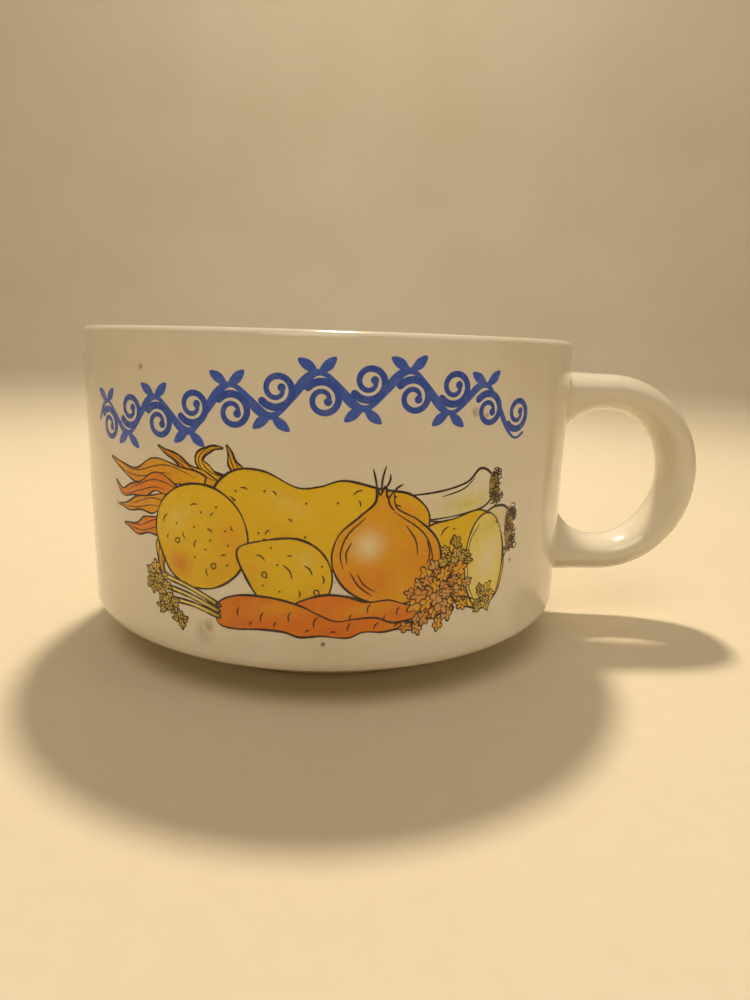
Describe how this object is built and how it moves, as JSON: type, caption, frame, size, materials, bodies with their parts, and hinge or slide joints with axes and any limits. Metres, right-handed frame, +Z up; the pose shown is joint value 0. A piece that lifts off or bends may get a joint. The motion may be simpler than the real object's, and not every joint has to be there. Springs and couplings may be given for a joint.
{
  "type": "soup mug",
  "caption": "Wide straight-walled ceramic mug for soup, with a ring handle at one side, a recessed foot ring and a printed vegetable decoration.",
  "frame": {"origin": "on the resting surface, under the middle of the whole mug's box, handle included", "axes": "+X from the cup towards the handle, +Z up along the cup's axis, which stands at x = -19.45 mm"},
  "size_m": [0.164, 0.1251, 0.078],
  "materials": {
    "bisque_clay": "matte fired clay",
    "luting_slip": "matte fired slip",
    "white_glaze": "glossy cream-white glaze",
    "blue_print": "satin blue enamel print",
    "harvest_print": "satin multicolour enamel print"
  },
  "bodies": {
    "root": {"cup_body": "bisque_clay", "handle": "bisque_clay", "upper_handle_joint": "luting_slip", "lower_handle_joint": "luting_slip", "outside_glaze": "white_glaze", "inside_glaze": "white_glaze", "base_glaze": "white_glaze", "handle_glaze": "white_glaze", "scroll_transfer": "blue_print", "harvest_transfer": "harvest_print"}
  },
  "joints": []
}
